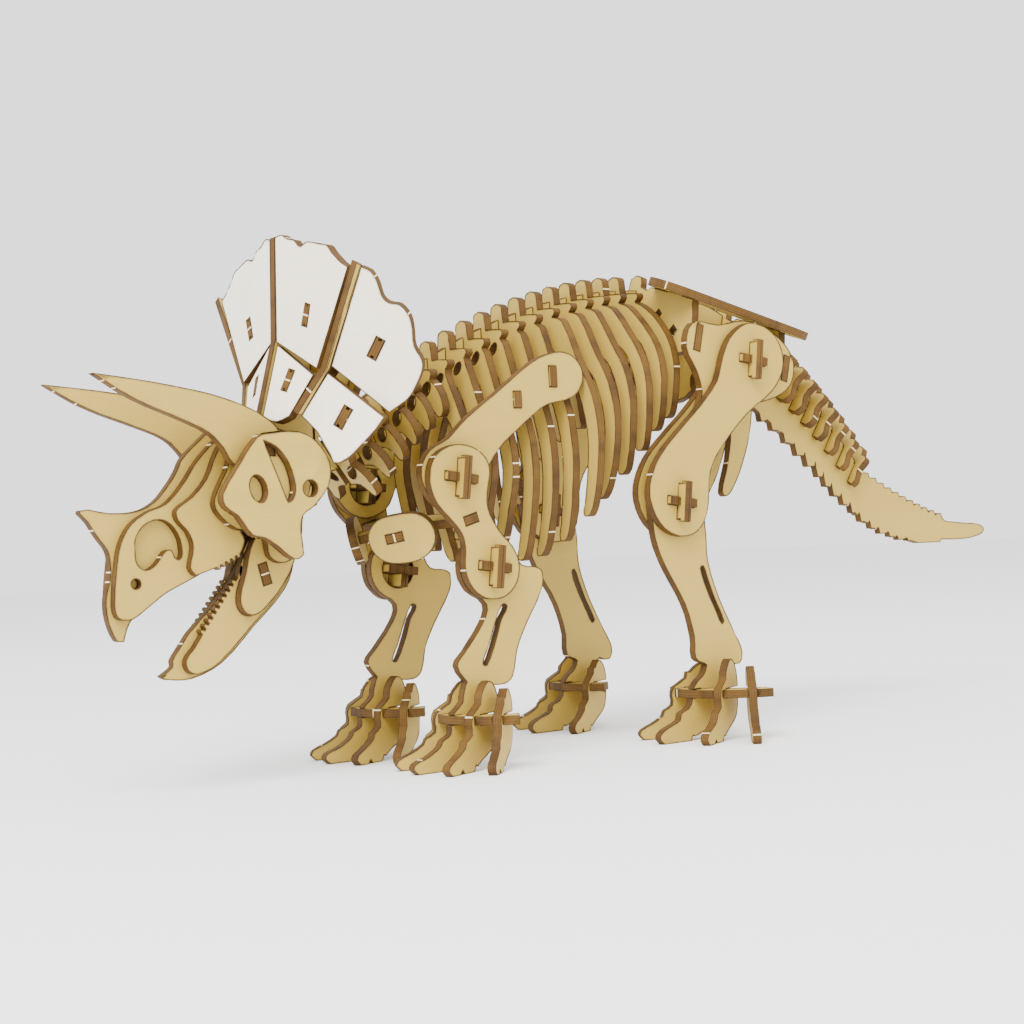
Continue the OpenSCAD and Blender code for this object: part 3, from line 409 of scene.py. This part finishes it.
def nib_tree(material):
    """Instances one small block on each point, turned by the point's own directions."""
    tree = bpy.data.node_groups.new("nibs along outlines", "GeometryNodeTree")
    face = tree.interface
    face.new_socket("Geometry", in_out="INPUT", socket_type="NodeSocketGeometry")
    face.new_socket("Nib Width", in_out="INPUT", socket_type="NodeSocketFloat")
    face.new_socket("Nib Height", in_out="INPUT", socket_type="NodeSocketFloat")
    face.new_socket("Sheet Thickness", in_out="INPUT", socket_type="NodeSocketFloat")
    face.new_socket("Geometry", in_out="OUTPUT", socket_type="NodeSocketGeometry")

    def add(kind, **settings):
        made = tree.nodes.new(kind)
        for key, value in settings.items():
            setattr(made, key, value)
        return made

    def named(name):
        made = add("GeometryNodeInputNamedAttribute", data_type="FLOAT_VECTOR")
        made.inputs["Name"].default_value = name
        return made.outputs["Attribute"]

    enter, leave = add("NodeGroupInput"), add("NodeGroupOutput")
    size = add("ShaderNodeCombineXYZ")
    tree.links.new(enter.outputs["Nib Width"], size.inputs[0])
    tree.links.new(enter.outputs["Sheet Thickness"], size.inputs[1])
    tree.links.new(enter.outputs["Nib Height"], size.inputs[2])
    block = add("GeometryNodeMeshCube")
    tree.links.new(size.outputs[0], block.inputs["Size"])
    outward = add("FunctionNodeAlignRotationToVector", axis="Z")
    tree.links.new(named("out_dir"), outward.inputs["Vector"])
    across = add("FunctionNodeAlignRotationToVector", axis="Y", pivot_axis="Z")
    tree.links.new(outward.outputs[0], across.inputs["Rotation"])
    tree.links.new(named("sheet_dir"), across.inputs["Vector"])
    spots = add("GeometryNodeInstanceOnPoints")
    tree.links.new(enter.outputs["Geometry"], spots.inputs["Points"])
    tree.links.new(block.outputs["Mesh"], spots.inputs["Instance"])
    tree.links.new(across.outputs[0], spots.inputs["Rotation"])
    real = add("GeometryNodeRealizeInstances")
    tree.links.new(spots.outputs[0], real.inputs[0])
    finish = add("GeometryNodeSetMaterial")
    finish.inputs["Material"].default_value = material
    tree.links.new(real.outputs[0], finish.inputs["Geometry"])
    tree.links.new(finish.outputs[0], leave.inputs[0])
    return tree


def grow(name, places, tree, sizes):
    """The tree's result on these places, as a plain mesh object."""
    mesh = bpy.data.meshes.new(name)
    mesh.from_pydata([tuple(place[0]) for place in places], [], [])
    for title, spot in (("out_dir", 1), ("sheet_dir", 2)):
        data = mesh.attributes.new(title, "FLOAT_VECTOR", "POINT")
        data.data.foreach_set("vector", [c for place in places for c in place[spot]])
    seeds = bpy.data.objects.new(name + "_seeds", mesh)
    bpy.context.scene.collection.objects.link(seeds)
    grower = seeds.modifiers.new("grow", "NODES")
    grower.node_group = tree
    for item in tree.interface.items_tree:
        if item.in_out == "INPUT" and item.name in sizes:
            grower[item.identifier] = sizes[item.name]
    graph = bpy.context.evaluated_depsgraph_get()
    graph.update()
    made = bpy.data.meshes.new_from_object(seeds.evaluated_get(graph))
    made.name = name
    bpy.data.objects.remove(seeds)
    piece = bpy.data.objects.new(name, made)
    bpy.context.scene.collection.objects.link(piece)
    return piece


# ---------------------------------------------------------------- settings
def length(title, words, value, low, high):
    return bpy.props.FloatProperty(name=title, description=words, default=value, min=low, max=high,
                                   subtype="DISTANCE", unit="LENGTH", precision=5)


def share(title, words, value):
    return bpy.props.FloatProperty(name=title, description=words, default=value, min=0.0, max=1.5)


def colour(title, words, value):
    return bpy.props.FloatVectorProperty(name=title, description=words, subtype="COLOR", size=3,
                                         default=value, min=0.0, max=1.0)


class KIT_PG_plywood(bpy.types.PropertyGroup):
    wood: colour("Wood", "Sanded face of the sheet", (0.462, 0.322, 0.06))
    # pale frill plates, lifted to near white with painted light falling from the front-top
    frill_wood_with_painted_light: colour("Frill wood with painted light", "Face of the frill plates", (0.97, 0.90, 0.78))
    smoke: colour("Smoke", "Brown haze beside the laser cut", (0.07, 0.026, 0.007))
    char: colour("Char", "Darkest part of a cut edge", (0.018, 0.007, 0.0012))
    core: colour("Core", "Inner veneer seen on a cut edge", (0.135, 0.064, 0.008))
    nib: colour("Nib", "Torn wood where a plate was snapped out", (0.78, 0.64, 0.40))
    chamfer: length("Chamfer", "Worn width along every outline", 0.17 * MM, 0.02 * MM, 0.4 * MM)
    rim: length("Rim", "Width of the smoke haze", 0.5 * MM, 0.1 * MM, 2 * MM)
    grain_light: share("Light grain", "Brightness of the light grain lines", 1.05)
    grain_dark: share("Dark grain", "Brightness of the dark grain lines", 0.86)
    smoke_depth: share("Smoke depth", "How strongly the haze browns the rim", 0.9)
    skin_char: share("Skin char", "How strongly the outer veneers are charred", 0.8)
    sheet: length("Sheet", "Thickness of the plywood", 2.5 * MM, 1.5 * MM, 4 * MM)


class KIT_PG_nibs(bpy.types.PropertyGroup):
    width: length("Width", "Width of a nib along the outline", 0.42 * MM, 0.2 * MM, 2 * MM)
    height: length("Height", "Height of a nib, half of it sunk in", 0.24 * MM, 0.1 * MM, 1 * MM)
    sheet: length("Sheet", "Thickness of the plywood", 2.42 * MM, 1.5 * MM, 4 * MM)
    spacing: length("Spacing", "Outline length for each nib", 60 * MM, 10 * MM, 200 * MM)


class KIT_PG_stage(bpy.types.PropertyGroup):
    floor: colour("Floor", "Studio floor and backdrop", (0.93, 0.93, 0.93))
    floor_size: length("Floor size", "Side of the floor sheet", 6.0, 1.0, 20.0)
    key_power: bpy.props.FloatProperty(name="Key", description="Soft light over the head", default=36.0,
                                       min=0.0, subtype="POWER", unit="POWER")
    fill_power: bpy.props.FloatProperty(name="Fill", description="Soft light from the camera side",
                                        default=6.0, min=0.0, subtype="POWER", unit="POWER")
    sky: bpy.props.FloatProperty(name="Sky", description="Even white light all round", default=2.0, min=0.0)
    lens: bpy.props.FloatProperty(name="Lens", description="Focal length in millimetres", default=66.8)
    turn: bpy.props.FloatProperty(name="Turn", description="Viewing direction from +Y", subtype="ANGLE",
                                  default=math.radians(36.6))
    rise: bpy.props.FloatProperty(name="Rise", description="Camera pitch", subtype="ANGLE",
                                  default=math.radians(0.7))
    roll: bpy.props.FloatProperty(name="Roll", description="Camera roll", subtype="ANGLE",
                                  default=math.radians(3.0))
    eye: bpy.props.FloatVectorProperty(name="Eye", description="Camera place", subtype="TRANSLATION",
                                       default=(-0.3804, -0.46207, 0.06461))


# ---------------------------------------------------------------- operators
class KitStep:
    """A step that dresses the plates named in parts."""
    bl_options = {"REGISTER", "UNDO"}
    parts = ()

    def execute(self, context):
        order = sorted(NODES)
        for node in self.parts:
            dress(node, context.scene.kit_plywood, order.index(node))
        return {"FINISHED"}


class KIT_OT_finishes(bpy.types.Operator):
    """Make the plywood face, cut-edge and nib materials."""
    bl_idname = "kit.finishes"
    bl_label = "Plywood finishes"

    def execute(self, context):
        s = context.scene.kit_plywood
        edge = cut_edge("Laser-cut edge", tuple(s.char), tuple(s.core), s)
        FINISHES[("plywood", "face")] = veneer("Birch veneer", tuple(s.wood), tuple(s.smoke), s)
        # the frill face is the pale wood with painted light from the front-top baked into its near-white
        # colour
        FINISHES[("plywood_pale", "face")] = veneer("Frill veneer with painted light", tuple(s.frill_wood_with_painted_light), tuple(s.smoke), s)
        FINISHES[("plywood", "edge")] = FINISHES[("plywood_pale", "edge")] = edge
        FINISHES["nib"] = torn_nib("Torn nib", tuple(s.nib))
        for node, piece in NODES.items():
            for slot in piece.material_slots:
                slot.material = FINISHES[(SLOT_OF[node], "face")]
        return {"FINISHED"}


class KIT_OT_skull(KitStep, bpy.types.Operator):
    """Dress the skull plates, horns and spacers."""
    bl_idname = "kit.skull"
    bl_label = "Skull"
    parts = ("skull_core", "nose_plates", "maxilla_left", "maxilla_right", "brow_horn_left",
             "brow_horn_right", "cheek_left", "cheek_right", "skull_spacers")


class KIT_OT_jaw(KitStep, bpy.types.Operator):
    """Dress the lower jaw and its pin."""
    bl_idname = "kit.jaw"
    bl_label = "Jaw"
    parts = ("jaw_core", "jaw_side_left", "jaw_side_right", "jaw_pin")


class KIT_OT_frill(KitStep, bpy.types.Operator):
    """Dress the frill panels, ribs and arches."""
    bl_idname = "kit.frill"
    bl_label = "Frill"
    parts = ("frill_upper_left", "frill_upper_right", "frill_lower_left", "frill_lower_right",
             "frill_ribs_left", "frill_ribs_right", "frill_arches")


class KIT_OT_back(KitStep, bpy.types.Operator):
    """Dress the spine, neck and rib plates."""
    bl_idname = "kit.back"
    bl_label = "Spine and ribs"
    parts = ("spine_plate", "neck_vertebrae", "ribs_1", "ribs_2", "ribs_3", "ribs_4", "ribs_5", "ribs_6")


class KIT_OT_front_legs(KitStep, bpy.types.Operator):
    """Dress the shoulders, front legs and breast plates."""
    bl_idname = "kit.front_legs"
    bl_label = "Front legs"
    parts = ("humerus_bar", "coracoids", "scapula_left", "scapula_right", "humerus_left",
             "humerus_right", "forearm_left", "forearm_right", "shoulder_axle_left",
             "shoulder_axle_right", "elbow_axle_left", "elbow_axle_right", "front_foot_left",
             "front_foot_right")


class KIT_OT_rear_legs(KitStep, bpy.types.Operator):
    """Dress the pelvis and rear legs."""
    bl_idname = "kit.rear_legs"
    bl_label = "Pelvis and rear legs"
    parts = ("pelvis_frame", "pelvis_sides", "ilium_blades", "ischia", "femur_left", "femur_right",
             "shin_left", "shin_right", "hip_axle_left", "hip_axle_right", "knee_axle_left",
             "knee_axle_right", "rear_foot_left", "rear_foot_right")


class KIT_OT_tail(KitStep, bpy.types.Operator):
    """Dress the tail plate and its vertebrae."""
    bl_idname = "kit.tail"
    bl_label = "Tail"
    parts = ("tail_plate", "tail_vertebrae")


class KIT_OT_nibs(bpy.types.Operator):
    """Grow the pale nibs along the outlines of the plates, one mesh for each body."""
    bl_idname = "kit.nibs"
    bl_label = "Nibs"

    def execute(self, context):
        s = context.scene.kit_nibs
        points, polygons = [], []
        for piece in NODES.values():
            base = len(points)
            points += [v.co.copy() for v in piece.data.vertices]
            polygons += [[base + i for i in p.vertices] for p in piece.data.polygons]
        around = BVHTree.FromPolygons(points, polygons)

        def clear(point, out, normal):
            lean = normal.cross(out) * 0.8
            ways = out, (out + lean).normalized(), (out - lean).normalized()
            return all(around.ray_cast(point + normal * height, way, NIB_ROOM)[0] is None
                       for height in (-NIB_REACH, 0, NIB_REACH) for way in ways)

        tree = nib_tree(FINISHES["nib"])
        sizes = {"Nib Width": s.width, "Nib Height": s.height, "Sheet Thickness": s.sheet}
        for number, (body, names) in enumerate(sorted(BODIES.items())):
            flat_parts = [n for n in names if not any(word in n for word in NO_NIBS)]
            places = nib_places(flat_parts, s.spacing, clear, NIB_SEED + number)
            if not places:
                continue
            piece = grow("nibs_" + body, places, tree, sizes)
            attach(piece, body)
        bpy.data.node_groups.remove(tree)
        return {"FINISHED"}


class KIT_OT_stage(bpy.types.Operator):
    """Pale floor, soft lights and the camera."""
    bl_idname = "kit.stage"
    bl_label = "Stage"

    def execute(self, context):
        s, scene = context.scene.kit_stage, context.scene
        half = s.floor_size / 2
        mesh = bpy.data.meshes.new("studio_floor")
        mesh.from_pydata([(-half, -half, 0), (half, -half, 0), (half, half, 0), (-half, half, 0)], [],
                         [(0, 1, 2, 3)])
        mesh.materials.append(studio_floor("Studio floor", tuple(s.floor)))
        floor = bpy.data.objects.new("studio_floor", mesh)
        scene.collection.objects.link(floor)
        world = bpy.data.worlds.new("Studio sky")
        world.use_nodes = True
        world.node_tree.nodes["Background"].inputs[0].default_value = (1, 1, 1, 1)
        world.node_tree.nodes["Background"].inputs[1].default_value = s.sky
        scene.world = world
        for name, place, power, size in (("key", KEY_PLACE, s.key_power, 0.9),
                                         ("fill", FILL_PLACE, s.fill_power, 1.2)):
            lamp = bpy.data.lights.new(name, "AREA")
            lamp.energy, lamp.size = power, size
            light = bpy.data.objects.new(name, lamp)
            light.location = place
            light.rotation_euler = (MODEL_MIDDLE - Vector(place)).to_track_quat("-Z", "Y").to_euler()
            scene.collection.objects.link(light)
        camera = bpy.data.objects.new("camera", bpy.data.cameras.new("camera"))
        camera.data.lens, camera.data.sensor_width = s.lens, 36.0
        camera.data.clip_start, camera.data.clip_end = 0.01, 50.0
        level = math.cos(s.rise)
        look = Vector((math.sin(s.turn) * level, math.cos(s.turn) * level, math.sin(s.rise)))
        right = look.cross(Vector((0, 0, 1))).normalized()
        up = right.cross(look)
        right_r = right * math.cos(s.roll) - up * math.sin(s.roll)
        up_r = right * math.sin(s.roll) + up * math.cos(s.roll)
        turned = Matrix((right_r, up_r, -look)).transposed().to_4x4()
        camera.matrix_world = Matrix.Translation(Vector(s.eye)) @ turned
        scene.collection.objects.link(camera)
        scene.camera = camera
        return {"FINISHED"}


STEPS = (KIT_OT_finishes, KIT_OT_skull, KIT_OT_jaw, KIT_OT_frill, KIT_OT_back, KIT_OT_front_legs,
         KIT_OT_rear_legs, KIT_OT_tail, KIT_OT_nibs, KIT_OT_stage)


class KIT_PT_panel(bpy.types.Panel):
    bl_idname = "KIT_PT_panel"
    bl_label = "Plywood skeleton"
    bl_space_type = "VIEW_3D"
    bl_region_type = "UI"
    bl_category = "Skeleton Kit"

    def draw(self, context):
        for step in STEPS:
            self.layout.operator(step.bl_idname)
        for group in (context.scene.kit_plywood, context.scene.kit_nibs, context.scene.kit_stage):
            box = self.layout.box()
            for name in group.bl_rna.properties.keys():
                if name not in ("rna_type", "name"):
                    box.prop(group, name)


CLASSES = (KIT_PG_plywood, KIT_PG_nibs, KIT_PG_stage, *STEPS, KIT_PT_panel)


def register():
    for cls in CLASSES:
        bpy.utils.register_class(cls)
    bpy.types.Scene.kit_plywood = bpy.props.PointerProperty(type=KIT_PG_plywood)
    bpy.types.Scene.kit_nibs = bpy.props.PointerProperty(type=KIT_PG_nibs)
    bpy.types.Scene.kit_stage = bpy.props.PointerProperty(type=KIT_PG_stage)


def unregister():
    for name in ("kit_plywood", "kit_nibs", "kit_stage"):
        delattr(bpy.types.Scene, name)
    for cls in reversed(CLASSES):
        bpy.utils.unregister_class(cls)


def main():
    register()
    for step in STEPS:
        group, name = step.bl_idname.split(".")
        getattr(getattr(bpy.ops, group), name)()


if __name__ == "__main__":
    main()
